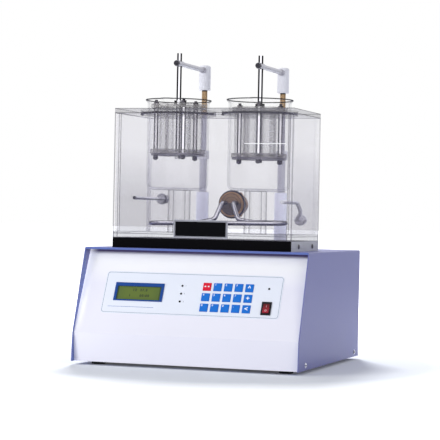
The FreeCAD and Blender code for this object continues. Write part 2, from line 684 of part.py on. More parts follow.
guides = []
glands = []
rods = []
caps = []
arms = []
for sign, side in SIDES:
    x = "%d * station_x" % sign
    drop = "station_drop" if sign > 0 else "0"
    at = (x, "rod_y")
    guides.append(cut("Guide" + side, fuse("GuideSolid" + side, [
        rod("GuideLow" + side, "11.25", "100", at + ("case_top_z",)),
        rod("GuideNeck" + side, "6.75", "159", at + ("case_top_z",)),
        rod("GuideSpigot" + side, "8", "10", at + ("case_top_z - 9.5",)),
        hexagon("GuideNut" + side, "15", "8", at + ("case_top_z - 9.5",)),
    ]), [rod("GuideBore" + side, "rod_radius + fit_gap", "200", at + ("case_top_z - 20",))]))
    glands.append(pipe("Gland" + side, "10.3", "rod_radius + fit_gap", "15", at + ("case_top_z + 159",)))

    # drive rod with a nut each side of the crosshead
    rods.append(fuse("DriveRod" + side, [
        rod("RodBar" + side, "rod_radius", "arm_z - (%s) - 6 - (crank_z - 24)" % drop,
            at + ("crank_z - 24",)),
        hexagon("RodNutLow" + side, "9.2", "6", at + ("crank_z - 24",)),
        hexagon("RodNutHigh" + side, "9.2", "6", at + ("crank_z + 18",)),
    ]))

    # white cap: blind bore for the rod, cross bore for the arm with a seat for its ferrule
    cap_z = "cap_base_z - (%s)" % drop
    bar_z = "arm_z - (%s)" % drop
    cap = soften("CapRounded" + side, rod("CapBlock" + side, "cap_radius", "cap_height", at + (cap_z,)), 4.0)
    caps.append(cut("Cap" + side, cap, [
        rod("CapBore" + side, "rod_radius + fit_gap", "(%s) - 6 - (%s)" % (bar_z, cap_z), at + (cap_z,)),
        rod("CapCross" + side, "arm_radius + fit_gap", "26", (x, "rod_y - 20", bar_z), "y"),
        rod("CapSeat" + side, "5.55", "12", (x, "rod_y - 20", bar_z), "y"),
    ]))

    # arm: round bar from a cross-drilled head on the basket shaft to the cap
    arms.append(cut("Arm" + side, fuse("ArmSolid" + side, [
        rod("ArmBar" + side, "arm_radius", "rod_y + 5 - station_y", (x, "station_y", bar_z), "y"),
        rod("ArmHead" + side, "5.5", "24", (x, "station_y - 12", bar_z), "y"),
        rod("ArmFerrule" + side, "5.5", "9", (x, "rod_y - 17", bar_z), "y"),
    ]), [
        rod("HeadBore" + side, "shaft_radius + fit_gap", "40", (x, "station_y", "%s - 20" % bar_z)),
        rod("HeadThread" + side, "2.05", "16", (x, "station_y", bar_z), "-y"),
    ]))
    knob = fuse("Knob" + side, [
        rod("KnobGrip" + side, "4.6", "4", (x, "station_y - 12", bar_z), "-y"),
        rod("KnobStem" + side, "2", "8", (x, "station_y - shaft_radius - 0.1", bar_z), "-y"),
    ])
    node("clamp_knob_" + side.lower(), knob)

node("guide_columns", group("GuideColumns", guides + glands))
node("drive_rods", group("DriveRods", rods))
node("rod_caps", group("RodCaps", caps))
node("arms", group("Arms", arms))

# Crosshead: a slotted bar that joins both drive rods.
cross_parts = [
    block("CrossBar", ("-station_x", "station_x"), ("rod_y - 8", "rod_y + 8"),
          ("crank_z - 12", "crank_z + 12")),
    block("CrossEye", ("-46", "46"), ("rod_y - 8", "rod_y + 8"), ("crank_z - 24", "crank_z + 24")),
]
cross_cuts = [
    block("SlotMiddle", ("-crank_throw + 4.5", "crank_throw - 4.5"), ("rod_y - 20", "rod_y + 20"),
          ("crank_z - slot_height / 2", "crank_z + slot_height / 2")),
]
for sign, side in SIDES:
    x = "%d * station_x" % sign
    cross_parts.append(rod("CrossBoss" + side, "12", "36", (x, "rod_y", "crank_z - 18")))
    cross_cuts.append(rod("CrossBore" + side, "rod_radius + fit_gap", "60", (x, "rod_y", "crank_z - 30")))
    cross_cuts.append(rod("SlotEnd" + side, "slot_height / 2", "40",
                          ("%d * (crank_throw - 4.5)" % sign, "rod_y - 20", "crank_z"), "y"))
node("crosshead", cut("Crosshead", fuse("CrossSolid", cross_parts), cross_cuts))

# Crank: shaft, disc and pin, the pin level with the axis at mid-stroke.
node("crank", fuse("Crank", [
    rod("CrankShaft", "6", "28", ("0", "50", "crank_z"), "y"),
    rod("CrankDisc", "36", "10", ("0", "76", "crank_z"), "y"),
    rod("CrankPin", "5", "23", ("crank_throw", "85", "crank_z"), "y"),
]))

# Gear motor on its bracket.
node("gear_motor", cut("GearMotor", fuse("GearMotorSolid", [
    block("GearBox", ("-40", "40"), ("30", "70"), ("crank_z - 40", "crank_z + 40")),
    rod("MotorCan", "32", "78", ("0", "-48", "crank_z"), "y"),
    block("MotorWeb", ("-46", "46"), ("26", "32"), ("foot_height + sheet_metal", "crank_z")),
    block("MotorFoot", ("-46", "46"), ("-14", "62"),
          ("foot_height + sheet_metal", "foot_height + sheet_metal + 3")),
]), [rod("GearBore", "6.05", "24", ("0", "48", "crank_z"), "y")]))

# Mains inlet: three-pin socket with a fuse drawer above it.
inlet_parts = [
    block("InletFlange", (INLET_X - 17, INLET_X + 17), ("case_rear_y", "case_rear_y + 4"), (22, 72)),
    block("InletBody", (INLET_X - 14, INLET_X + 14), ("case_rear_y - 28", "case_rear_y"), (26, 68)),
]
inlet_cuts = [
    block("InletSocket", (INLET_X - 11.5, INLET_X + 11.5), ("case_rear_y - 13", "case_rear_y + 6"),
          (28, 43.5)),
    cut("DrawerGroove",
        block("DrawerOuter", (INLET_X - 11, INLET_X + 11), ("case_rear_y + 3", "case_rear_y + 6"), (48, 66)),
        [block("DrawerInner", (INLET_X - 10, INLET_X + 10), ("case_rear_y", "case_rear_y + 8"), (49, 65))]),
]
inlet = cut("InletCut", fuse("InletSolid", inlet_parts), inlet_cuts)
inlet_pins = [
    block("InletPin%d" % index, (INLET_X + dx - 1, INLET_X + dx + 1), ("case_rear_y - 14", "case_rear_y - 4"),
          (z - 2, z + 2))
    for index, (dx, z) in enumerate(((-7, 34), (7, 34), (0, 38)))
]
node("mains_inlet", fuse("MainsInlet", [inlet] + inlet_pins))

# ---------------------------------------------------------------- beakers

SPOUTS = {"left": -91.0, "right": -79.0}


def beaker_solid(name, radius, base, top, flare, heel):
    """Solid of revolution: rounded heel, straight wall and flared rim."""
    body = turned(name, [
        ("0", base), (radius, base), (radius, "beaker_rim_z - 6"), (flare, "beaker_rim_z - 1.5"),
        (flare, top), ("0", top),
    ])
    low = body.Shape.BoundBox.ZMin
    round_edges(body, heel, circle_at(low))
    return body


for sign, side in SIDES:
    label = side.lower()
    angle = SPOUTS[label]
    outer = beaker_solid("BeakerOut" + side, "beaker_radius", "beaker_base_z",
                         "beaker_rim_z", "rim_radius", "12")
    inner = beaker_solid("BeakerIn" + side, "beaker_radius - beaker_wall", "beaker_base_z + 3",
                         "beaker_rim_z + 3", "rim_radius - 2.2", "9.5")
    lip_at = ("(beaker_radius - 3) * cos(%s)" % angle, "(beaker_radius - 3) * sin(%s)" % angle)
    lip_out = place(add("Part::Cone", "LipOut" + side, Radius1="1.5", Radius2="12.5", Height="16"),
                    lip_at + ("beaker_rim_z - 16",))
    lip_in = place(add("Part::Cone", "LipIn" + side, Radius1="0.5", Radius2="10.6", Height="15"),
                   lip_at + ("beaker_rim_z - 14.5",))
    glass = cut("Beaker" + side, fuse("BeakerShape" + side, [outer, lip_out]),
                [fuse("BeakerVoid" + side, [inner, lip_in])])
    doc.recompute()
    vessel = doc.addObject("Part::Feature", "BeakerPlaced" + side)
    vessel.Shape = glass.Shape
    vessel.Placement = Placement(Vector(sign * size("station_x"), size("station_y"), 0), Rotation())
    node("beaker_" + label, vessel)

# ---------------------------------------------------------------- baskets

def ring(count, first):
    """Evenly spaced angles."""
    return [first + 360.0 * index / count for index in range(count)]


def basket(side, x, drop, first):
    """The six nodes of one basket-rack."""
    label = "basket_" + side.lower()

    def polar(radius, angle):
        return ("%s + %s * cos(%s)" % (x, radius, angle), "station_y + %s * sin(%s)" % (radius, angle))

    def at_height(spot, text):
        return spot + ("%s - (%s)" % (text, drop),)

    centre = (x, "station_y")
    seats = [polar("tube_circle", angle) for angle in ring(6, first + 30)]
    ties = [polar("tie_circle", angle) for angle in ring(3, first)]

    # glass tubes
    tubes = [
        pipe("Tube%s%d" % (side, n), "tube_radius", "bore_radius", "tube_length",
             at_height(spot, "tube_base_z"))
        for n, spot in enumerate(seats)
    ]
    node(label + "_tubes", group("Tubes" + side, tubes))

    # plates: through holes, counterbores on the inner faces, clearance for rods and shaft
    for level, base, seat in (("lower", "lower_plate_z", "tube_base_z"),
                              ("upper", "upper_plate_z", "tube_base_z + tube_length - 10")):
        name = level.capitalize() + "Plate" + side
        blank = rod(name + "Blank", "plate_radius", "plate_thick", at_height(centre, base))
        tools = [rod(name + "Shaft", "shaft_radius + fit_gap", "20", at_height(centre, base + " - 5"))]
        for n, spot in enumerate(seats):
            tools.append(rod("%sBore%d" % (name, n), "bore_radius", "20", at_height(spot, base + " - 5")))
            tools.append(rod("%sSeat%d" % (name, n), "tube_radius + fit_gap", "10", at_height(spot, seat)))
        for n, spot in enumerate(ties):
            below = at_height(spot, base + " - 5")
            tools.append(rod("%sTie%d" % (name, n), "tie_radius + fit_gap", "20", below))
        node("%s_%s_plate" % (label, level), cut(name, blank, tools))

    # wire cloth under the lower plate, held by a pierced steel disc
    cloth = rod("Cloth" + side, "plate_radius - 1", "0.6", at_height(centre, "lower_plate_z - 0.6"))
    keeper = cut("Keeper" + side, rod("KeeperBlank" + side, "plate_radius - 1", "3",
                                      at_height(centre, "lower_plate_z - 3.5")),
                 [rod("KeeperHole%s%d" % (side, n), "bore_radius", "5", at_height(spot, "lower_plate_z - 5"))
                  for n, spot in enumerate(seats)])
    clear = [rod("MeshShaft" + side, "shaft_radius + fit_gap", "20", at_height(centre, "lower_plate_z - 10"))]
    clear += [
        rod("MeshTie%s%d" % (side, n), "tie_radius + fit_gap", "20", at_height(spot, "lower_plate_z - 10"))
        for n, spot in enumerate(ties)
    ]
    node(label + "_mesh", cut("Mesh" + side, fuse("MeshSolid" + side, [cloth, keeper]), clear))

    # tie rods with a cap nut on top and a plain nut underneath
    posts = []
    for n, spot in enumerate(ties):
        name = "Tie%s%d" % (side, n)
        posts.append(fuse(name, [
            rod(name + "Bar", "tie_radius", "upper_plate_z + plate_thick + 3 - (lower_plate_z - 9.5)",
                at_height(spot, "lower_plate_z - 9.5")),
            hexagon(name + "NutLow", "4.8", "6", at_height(spot, "lower_plate_z - 9.5")),
            dome(name + "Foot", 3.6, 1.6, at_height(spot, "lower_plate_z - 9.5"), TURNS["-z"]),
            rod(name + "Washer", "7", "1.2", at_height(spot, "upper_plate_z + plate_thick")),
            hexagon(name + "NutHigh", "4.9", "4.2", at_height(spot, "upper_plate_z + plate_thick + 1")),
            rod(name + "Stud", "2.6", "8.6", at_height(spot, "upper_plate_z + plate_thick")),
        ]))
    node(label + "_tie_rods", group("Ties" + side, posts))

    # shaft with a nut under the mesh and a hub nut on the upper plate
    node(label + "_shaft", fuse("Shaft" + side, [
        rod("ShaftBar" + side, "shaft_radius", "shaft_top_z - lower_plate_z + 9",
            at_height(centre, "lower_plate_z - 9")),
        hexagon("ShaftNut" + side, "5.5", "5", at_height(centre, "lower_plate_z - 8.5")),
        rod("ShaftHub" + side, "8", "7", at_height(centre, "upper_plate_z + plate_thick")),
    ]))


basket("Left", "-station_x", "0", 183.0)
basket("Right", "station_x", "station_drop", 166.0)

# ---------------------------------------------------------------- check and write

doc.recompute()
for item in doc.Objects:
    if "Invalid" in item.State or "Error" in item.State:
        raise ValueError("%s failed: %s" % (item.Name, item.State))
for item in nodes:
    if item.Shape.isNull() or not item.Shape.isValid():
        raise ValueError("bad shape: " + item.Label)

os.makedirs("parts", exist_ok=True)
for item in nodes:
    item.Shape.exportStep("parts/%s.step" % item.Label)
print(len(nodes), "nodes written")
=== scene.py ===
import math

import bpy
from mathutils import Matrix, Vector


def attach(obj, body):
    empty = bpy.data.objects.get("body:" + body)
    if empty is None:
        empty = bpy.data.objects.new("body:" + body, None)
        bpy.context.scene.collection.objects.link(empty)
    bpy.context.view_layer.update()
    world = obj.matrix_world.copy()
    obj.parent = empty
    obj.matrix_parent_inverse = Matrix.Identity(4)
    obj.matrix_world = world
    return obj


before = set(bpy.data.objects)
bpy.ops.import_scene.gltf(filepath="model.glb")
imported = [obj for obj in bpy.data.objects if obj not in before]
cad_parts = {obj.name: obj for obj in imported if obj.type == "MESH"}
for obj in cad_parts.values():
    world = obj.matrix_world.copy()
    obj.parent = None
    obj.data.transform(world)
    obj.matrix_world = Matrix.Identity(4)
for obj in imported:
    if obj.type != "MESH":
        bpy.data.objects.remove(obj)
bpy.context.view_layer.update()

# ---------------------------------------------------------------- camera
# A long lens nearly three metres off, as high as the lower part of the tank and
# round to the operator's right, held very slightly out of level.

turn, dip, roll = math.radians(19.14), math.radians(0.128), math.radians(1.149)
sight = Vector((-math.sin(turn) * math.cos(dip), math.cos(turn) * math.cos(dip), -math.sin(dip)))
level = Vector((math.cos(turn), math.sin(turn), 0))
above = level.cross(sight)
right = math.cos(roll) * level + math.sin(roll) * above
up = math.cos(roll) * above - math.sin(roll) * level
lens = bpy.data.cameras.new("long_lens")
lens.lens = 136.155
lens.clip_start, lens.clip_end = 0.05, 60
camera = bpy.data.objects.new("camera", lens)
stand = Matrix.Translation((0.94317, -2.73414, 0.25221))
camera.matrix_world = stand @ Matrix((right, up, -sight)).transposed().to_4x4()
bpy.context.scene.collection.objects.link(camera)
bpy.context.scene.camera = camera

# ---------------------------------------------------------------- studio floor, air and lamps
# A white paper floor under three soft boxes. Air and floor read white to the eye and
# through glass; polished metal sees them too, with a dark screen at each side.


class Value:
    """A number that varies over a surface, for use in sums."""

    def __init__(self, finish, socket):
        self.finish, self.socket = finish, socket

    def math(self, operation, first, second=0.0):
        return self.finish.node("Math", {"operation": operation}, {0: first, 1: second})

    def __add__(self, other):
        return self.math("ADD", self, other)

    def __sub__(self, other):
        return self.math("SUBTRACT", self, other)

    def __rsub__(self, other):
        return self.math("SUBTRACT", other, self)

    def __mul__(self, other):
        return self.math("MULTIPLY", self, other)

    def __truediv__(self, other):
        return self.math("DIVIDE", self, other)

    def __pow__(self, other):
        return self.math("POWER", self, other)

    def __gt__(self, other):
        return self.math("GREATER_THAN", self, other)

    def __lt__(self, other):
        return self.math("LESS_THAN", self, other)

    def __abs__(self):
        return self.math("ABSOLUTE", self)

    __radd__ = __add__
    __rmul__ = __mul__

    def most(self, other):
        return self.math("MAXIMUM", self, other)

    def least(self, other):
        return self.math("MINIMUM", self, other)

    def within(self, low, high):
        """1 between two limits, 0 outside them."""
        return (self > low) * (self < high)

    def line(self, at, half):
        """1 within half a line's width of a place."""
        return abs(self - at) < half

    def fade(self, start, length):
        """0 up to a start, then rising to 1 over a length; a length below 0 turns it round."""
        return ((self - start) / length).most(0.0).least(1.0)

    def to_nearest(self, pitch):
        """Distance to the nearest of a row of places, one pitch apart."""
        return self.math("PINGPONG", self, pitch / 2)


def distance(first, second):
    """Distance from an axis, by the two offsets from it."""
    return (first * first + second * second) ** 0.5


class Finish:
    """The shader nodes of one material, or of the air."""

    def __init__(self, name, tree=None):
        if tree is None:
            self.material = bpy.data.materials.new(name)
            self.material.use_nodes = True
            tree = self.material.node_tree
        self.tree = tree
        self.tree.nodes.clear()

    def node(self, kind, settings=None, inputs=None, output=0):
        """A new node: its settings first, then the values or links of its sockets."""
        made = self.tree.nodes.new("ShaderNode" + kind)
        for key, value in (settings or {}).items():
            setattr(made, key, value)
        for key, value in (inputs or {}).items():
            if isinstance(value, Value):
                self.tree.links.new(value.socket, made.inputs[key])
            else:
                made.inputs[key].default_value = value
        return None if output is None else Value(self, made.outputs[output])

    def mix(self, share, first, second):
        """The second colour laid over the first, by its share."""
        settings = {"data_type": "RGBA"}
        return self.node("Mix", settings, {"Factor": share, 6: first, 7: second}, 2)

    def parts(self, vector):
        """X, Y and Z of a vector."""
        return [self.node("SeparateXYZ", {}, {0: vector}, axis) for axis in range(3)]

    def spot(self):
        """X, Y and Z in metres, on the part at rest."""
        return self.parts(self.node("TexCoord", output=3))

    def noise(self, scale, detail=3.0, stretch=(1, 1, 1)):
        place = {"Vector": self.node("TexCoord", output=3), "Scale": stretch}
        here = self.node("Mapping", {}, place)
        return self.node("TexNoise", {}, {"Vector": here, "Scale": scale, "Detail": detail})

    def facing(self):
        """0 where a surface faces the eye, 1 where it turns away."""
        return self.node("LayerWeight", {}, {"Blend": 0.5}, 1)

    def below(self):
        """0 on the upper half of a round piece, up to 1 underneath it."""
        upward = self.parts(self.node("NewGeometry", output=1))[2]
        return upward.fade(0.20, -0.50)

    def ahead(self):
        """1 on faces turned to the front of the machine, 0 on those turned away."""
        backward = self.parts(self.node("NewGeometry", output=1))[1]
        return backward.fade(0.1, -0.4)

    def bump(self, height, distance, strength=0.4):
        sockets = {"Height": height, "Distance": distance, "Strength": strength}
        return self.node("Bump", {}, sockets)

    def surface(self, **sockets):
        named = {key.replace("_", " "): value for key, value in sockets.items()}
        shader = self.node("BsdfPrincipled", {}, named)
        self.node("OutputMaterial", {}, {"Surface": shader}, None)
        return self.material


BLACK, WHITE = (0, 0, 0, 1), (1, 1, 1, 1)

bpy.context.scene.view_settings.view_transform = "Standard"
sky = bpy.data.worlds.new("studio_air")
sky.use_nodes = True
bpy.context.scene.world = sky
air = Finish("studio_air", sky.node_tree)
across, deep, tall = air.parts(air.node("TexCoord", output=0))
screens = (0.474 * across - 0.881 * deep).within(-0.25, 0.62) * (abs(tall) < 0.5)
camera_ray, glossy_ray, glass_ray = [air.node("LightPath", output=ray) for ray in (0, 3, 6)]
seen = (camera_ray + glass_ray).least(1.0)
from_air = glossy_ray * (1 - screens * 0.88) + (1 - glossy_ray) * 0.55
strength = seen + (1 - seen) * from_air
tint = air.mix(seen, (0.95, 0.96, 1.0, 1), WHITE)
glow = air.node("Background", {}, {"Color": tint, "Strength": strength})
air.node("OutputWorld", {}, {"Surface": glow}, None)
bpy.context.scene.cycles.transparent_max_bounces = 48

paper = Finish("white_paper")
x, y, z = paper.spot()
far = distance(x, y).fade(0.36, 0.30)
lit = paper.node("LightPath", output=0) * (0.06 + far * 0.94)
sheet = paper.node("BsdfDiffuse", {}, {"Color": (0.80, 0.83, 0.88, 1)})
own = paper.node("Emission", {}, {"Color": paper.mix(lit, BLACK, WHITE), "Strength": 1.0})
both = paper.node("AddShader", {}, {0: sheet, 1: own})
paper.node("OutputMaterial", {}, {"Surface": both}, None)
edge = 30
corners = [(-edge, -edge, 0), (edge, -edge, 0), (edge, edge, 0), (-edge, edge, 0)]
floor_mesh = bpy.data.meshes.new("paper_floor")
floor_mesh.from_pydata(corners, [], [(0, 1, 2, 3)])
floor_mesh.materials.append(paper.material)
floor = bpy.data.objects.new("paper_floor", floor_mesh)
bpy.context.scene.collection.objects.link(floor)

for name, at, aim, size, power in (
    ("key_soft_box", (-1.75, -2.3, 0.80), (0, -0.1, 0.2), 1.2, 37),
    ("fill_soft_box", (2.2, -1.6, 0.8), (0, 0, 0.2), 1.2, 9),
    ("back_soft_box", (-0.7, 1.8, 1.8), (0, 0, 0.1), 0.7, 66),
):
    light = bpy.data.lights.new(name, "AREA")
    light.shape, light.size, light.energy = "SQUARE", size, power
    lamp = bpy.data.objects.new(name, light)
    lamp.location = at
    lamp.visible_glossy = False
    lamp.rotation_euler = (Vector(aim) - Vector(at)).to_track_quat("-Z", "Y").to_euler()
    bpy.context.scene.collection.objects.link(lamp)

# ---------------------------------------------------------------- wrap cover and base tray
# Folded 1.5 mm steel sheet in blue-lavender stoved enamel with a faint orange peel.
# The cover drops over the tray and is screwed to it low down on both sides.


def ink(red, green, blue):
    """A colour from display values of 0 to 255."""
    tones = [tone / 255 for tone in (red, green, blue)]
    return (*[t / 12.92 if t <= 0.04045 else ((t + 0.055) / 1.055) ** 2.4 for t in tones], 1)


def coat(material, *names):
    """Give a material to CAD nodes."""
    for name in names:
        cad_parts[name].data.materials.clear()
        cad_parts[name].data.materials.append(material)


FRONT_LIP, INSIDE_HALF = -0.1405, 0.1962

enamel = Finish("lavender_enamel")
x, y, z = enamel.spot()
cloud = enamel.noise(5.0)
shade = enamel.mix(cloud, ink(103, 105, 163), ink(110, 112, 170))
# Painted light: the front lip is painted a deeper blue than the rest of the same enamel, for the
# light on that edge.
lip = (y < FRONT_LIP) * (abs(x) < INSIDE_HALF)
shade = enamel.mix(lip, shade, ink(92, 110, 178))
peel = enamel.bump(enamel.noise(950.0, 1.0), 0.00012, 0.25)
coat(
    enamel.surface(Base_Color=shade, Roughness=0.38 + 0.08 * cloud, Coat_Weight=0.15,
                   Coat_Roughness=0.25, Normal=peel),
    "wrap_cover", "base_tray")

# ---------------------------------------------------------------- front panel and printed overlay
# The panel is folded sheet in off-white enamel; the overlay is a printed polyester
# sheet stuck to it, with a thin grey rule round its edge and one under the display.

PANEL_LEAN = math.radians(25.05)
PANEL_FOOT_Y, PANEL_FOOT_Z = -0.1865, 0.054


def slope_up(y, z):
    """Distance up the sloping panel from its foot."""
    return (y - PANEL_FOOT_Y) * math.sin(PANEL_LEAN) + (z - PANEL_FOOT_Z) * math.cos(PANEL_LEAN)


off_white = Finish("off_white_enamel")
x, y, z = off_white.spot()
rise = slope_up(y, z)
cloud = off_white.noise(4.0)
shade = off_white.mix(cloud, ink(236, 235, 246), ink(241, 240, 250))
# Painted light: up the slope the panel is painted up to pure white, against the shade under the
# cover's overhang.
shade = off_white.mix(rise.fade(0.09, 0.04), shade, WHITE)
# Painted shadow: a dark band along the panel's top edge, where the cover overhangs it.
painted_lip_shadow = rise.fade(0.1438, 0.0057) ** 1.1
shade = off_white.mix(painted_lip_shadow, shade, ink(104, 92, 126))
# Painted light: the strip beside the left side wall glows, to cancel the wall's shade on the
# panel.
painted_fill_beside_wall = x.fade(-0.1800, -0.0150) ** 1.3 * rise.fade(0.0, 0.05)
painted_glow = off_white.mix(painted_fill_beside_wall, BLACK, ink(222, 224, 236))
peel = off_white.bump(off_white.noise(900.0, 1.0), 0.0001, 0.2)
coat(
    off_white.surface(Base_Color=shade, Roughness=0.42 + 0.06 * cloud, Emission_Color=painted_glow,
                      Emission_Strength=0.7, Normal=peel),
    "front_panel")

RULE_MIDDLE, RULE_HALF, RULE_CORNER = (0.0005, 0.07475), (0.150, 0.03175), 0.0042

film = Finish("printed_polyester_sheet")
x, y, z = film.spot()
rise = slope_up(y, z)
past_side = (abs(x - RULE_MIDDLE[0]) - RULE_HALF[0]).most(0.0)
past_end = (abs(rise - RULE_MIDDLE[1]) - RULE_HALF[1]).most(0.0)
border_rule = distance(past_side, past_end).line(RULE_CORNER, 0.00035)
display_rule = rise.line(0.0492, 0.0003) * x.within(-0.144, -0.062)
shade = film.mix(film.noise(6.0), ink(231, 236, 247), ink(236, 240, 250))
shade = film.mix(border_rule, shade, ink(120, 136, 160))
shade = film.mix(display_rule, shade, ink(52, 96, 178))
grain = film.bump(film.noise(1400.0, 1.0), 0.00005, 0.2)
coat(
    film.surface(Base_Color=shade, Roughness=0.3, Coat_Weight=0.2, Coat_Roughness=0.2,
                 Normal=grain),
    "panel_overlay")

# ---------------------------------------------------------------- display
# A two-row liquid crystal module behind a blue moulded frame. Olive glass with a
# dim edge, and rows of dark digits on it.

frame_blue = Finish("blue_frame_plastic")
shade = frame_blue.mix(frame_blue.noise(20.0), ink(26, 66, 138), ink(34, 76, 150))
grain = frame_blue.bump(frame_blue.noise(1200.0, 1.0), 0.00006, 0.25)
coat(
    frame_blue.surface(Base_Color=shade, Roughness=0.4, Specular_IOR_Level=0.2, Normal=grain),
    "lcd_bezel")

SCREEN_MIDDLE, SCREEN_HALF = (-0.0925, 0.074), (0.039, 0.01225)

screen = Finish("olive_display_glass")
x, y, z = screen.spot()
off_x = abs(x - SCREEN_MIDDLE[0]) / SCREEN_HALF[0]
off_rise = abs(slope_up(y, z) - SCREEN_MIDDLE[1]) / SCREEN_HALF[1]
near_edge = off_x.most(off_rise)
shade = screen.mix(near_edge ** 3.0, ink(100, 117, 56), ink(86, 104, 56))
shade = screen.mix((near_edge > 0.93) * 0.6, shade, ink(50, 62, 44))
coat(screen.surface(Base_Color=shade, Roughness=0.2, Specular_IOR_Level=0.12), "lcd_glass")


def slope_point(across, rise, out):
    """A point over the sloping panel, all in metres."""
    return Vector((
        across,
        PANEL_FOOT_Y + rise * math.sin(PANEL_LEAN) - out * math.cos(PANEL_LEAN),
        PANEL_FOOT_Z + rise * math.cos(PANEL_LEAN) + out * math.sin(PANEL_LEAN),
    ))


def mark(name, words, size, at, material, body, spacing=1.0, heavy=0.0):
    """Flat printed characters, centred on a point and lying along the slope."""
    text = bpy.data.curves.new(name, "FONT")
    text.body, text.size, text.space_character = words, size, spacing
    text.align_x, text.align_y = "CENTER", "CENTER"
    text.extrude, text.offset = 0.00003, heavy
    text.resolution_u = 3
    text.materials.append(material)
    piece = bpy.data.objects.new(name, text)
    piece.location = at
    piece.rotation_euler = (math.pi / 2 - PANEL_LEAN, 0, 0)
    bpy.context.scene.collection.objects.link(piece)
    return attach(piece, body)


crystal = Finish("dark_liquid_crystal")
shade = crystal.mix(crystal.noise(900.0), ink(14, 20, 12), ink(20, 28, 16))
digit_ink = crystal.surface(Base_Color=shade, Roughness=0.5)
DIGIT_SIZE, GLASS_FACE = 0.0060, 0.00063
for name, words, across, rise in (
    ("display_row_upper", "12  37.0", -0.091, 0.0795),
    ("display_row_lower", "1      00:00", -0.0915, 0.0695),
):
    at = slope_point(across, rise, GLASS_FACE)
    mark(name, words, DIGIT_SIZE, at, digit_ink, "chassis", 1.3, 0.0002)

# ---------------------------------------------------------------- status lights
# Four small domed lamps, unlit, standing on the board behind the panel; a printed
# number stands beside each of the three on the left.

unlit = Finish("unlit_lamp")
# Painted sheen: the domes are painted slightly lighter where they turn away from the eye.
shade = unlit.mix(unlit.facing(), ink(3, 2, 4), ink(12, 8, 10))
coat(unlit.surface(Base_Color=shade, Roughness=0.25, Specular_IOR_Level=0.03), "status_leds")
grey_print = Finish("grey_print")
shade = grey_print.mix(grey_print.noise(700.0), ink(92, 100, 124), ink(110, 118, 140))
number_ink = grey_print.surface(Base_Color=shade, Roughness=0.5)
NUMBER_SIZE, OVERLAY_FACE = 0.0035, 0.00054
for number, rise in ((1, 0.0899), (2, 0.0759), (3, 0.0619)):
    name, at = "lamp_number_%d" % number, slope_point(-0.0115, rise, OVERLAY_FACE)
    mark(name, str(number), NUMBER_SIZE, at, number_ink, "chassis")

# ---------------------------------------------------------------- keys
# Fifteen moulded key tops, one red and fourteen blue, that come up through the
# overlay on stems. Each carries a small white printed figure.


def key_plastic(name, low, high):
    """Moulded key plastic between two close colours."""
    made = Finish(name)
    shade = made.mix(made.noise(60.0), low, high)
    grain = made.bump(made.noise(1500.0, 1.0), 0.00006, 0.25)
    return made.surface(Base_Color=shade, Roughness=0.38 + 0.1 * made.noise(300.0),
                        Specular_IOR_Level=0.18, Normal=grain)


key_blue = key_plastic("blue_key_plastic", ink(26, 108, 204), ink(34, 120, 216))
key_red = key_plastic("red_key_plastic", ink(214, 24, 50), ink(228, 36, 60))
white_print = Finish("white_print")
shade = white_print.mix(white_print.noise(700.0), ink(232, 240, 252), ink(246, 250, 255))
figure_ink = white_print.surface(Base_Color=shade, Roughness=0.45)
FIGURES = ("=  =", "1", "2", "3", "^", "4", "5", "6", "7", "+", "8", "9", "0", ".", "<")
FIRST_KEY, KEY_PITCH, KEY_FACE = (0.0261, 0.0897), (0.01835, 0.01855), 0.00171
LARGE_FIGURE, SMALL_FIGURE, TO_CORNER = 0.0105, 0.0050, (0.0036, 0.0038)
for index, figure in enumerate(FIGURES):
    row, column = divmod(index, 5)
    name = "key_r%dc%d" % (row + 1, column + 1)
    first = index == 0
    coat(key_red if first else key_blue, name)
    across, rise = FIRST_KEY[0] + KEY_PITCH[0] * column, FIRST_KEY[1] - KEY_PITCH[1] * row
    large = column == 4
    centred = large or first
    if not centred:
        across, rise = across - TO_CORNER[0], rise + TO_CORNER[1]
    at, size = slope_point(across, rise, KEY_FACE), LARGE_FIGURE if large else SMALL_FIGURE
    slot, heavy = "key_red" if first else "key_blue", 0.0003 if centred else 0.0001
    mark("key_figure_r%dc%d" % (row + 1, column + 1), figure, size, at, figure_ink, name,
         heavy=heavy)

# ---------------------------------------------------------------- power switch
# A snap-in rocker switch: black moulded housing, and a translucent red rocker with
# a moulded line at one end and a ring at the other.

black_moulding = Finish("black_moulding")
shade = black_moulding.mix(black_moulding.noise(40.0), ink(18, 16, 20), ink(28, 26, 30))
grain = black_moulding.bump(black_moulding.noise(1300.0, 1.0), 0.00008, 0.3)
coat(
    black_moulding.surface(Base_Color=shade, Roughness=0.4, Specular_IOR_Level=0.2, Normal=grain),
    "switch_housing")

ROCKER_MIDDLE_X, RING_RISE, RING_RADIUS = 0.1333, 0.0508, 0.0015

rocker = Finish("red_rocker_plastic")
x, y, z = rocker.spot()
rise = slope_up(y, z)
# Painted shade: the rocker's upper end is painted a darker red than its lower end.
shade = rocker.mix(rise.fade(0.0480, 0.0130), ink(172, 40, 56), ink(84, 14, 18))
shade = rocker.mix(rocker.noise(80.0) * 0.2, shade, ink(172, 18, 26))
off_x = x - ROCKER_MIDDLE_X
ring = distance(off_x, rise - RING_RISE).line(RING_RADIUS, 0.0003)
stroke = (abs(off_x) < 0.0003) * rise.within(0.0570, 0.0600)
shade = rocker.mix(ring.most(stroke), shade, ink(226, 190, 196))
grain = rocker.bump(rocker.noise(900.0, 1.0), 0.00004, 0.2)
coat(
    rocker.surface(Base_Color=shade, Roughness=0.2, Specular_IOR_Level=0.3, Normal=grain),
    "power_rocker")

# ---------------------------------------------------------------- feet and side screws
# Turned rubber feet under the tray; nickel-plated pan-head screws, four for the
# cover and four for the plinth, with a cross recess in the cover's four.

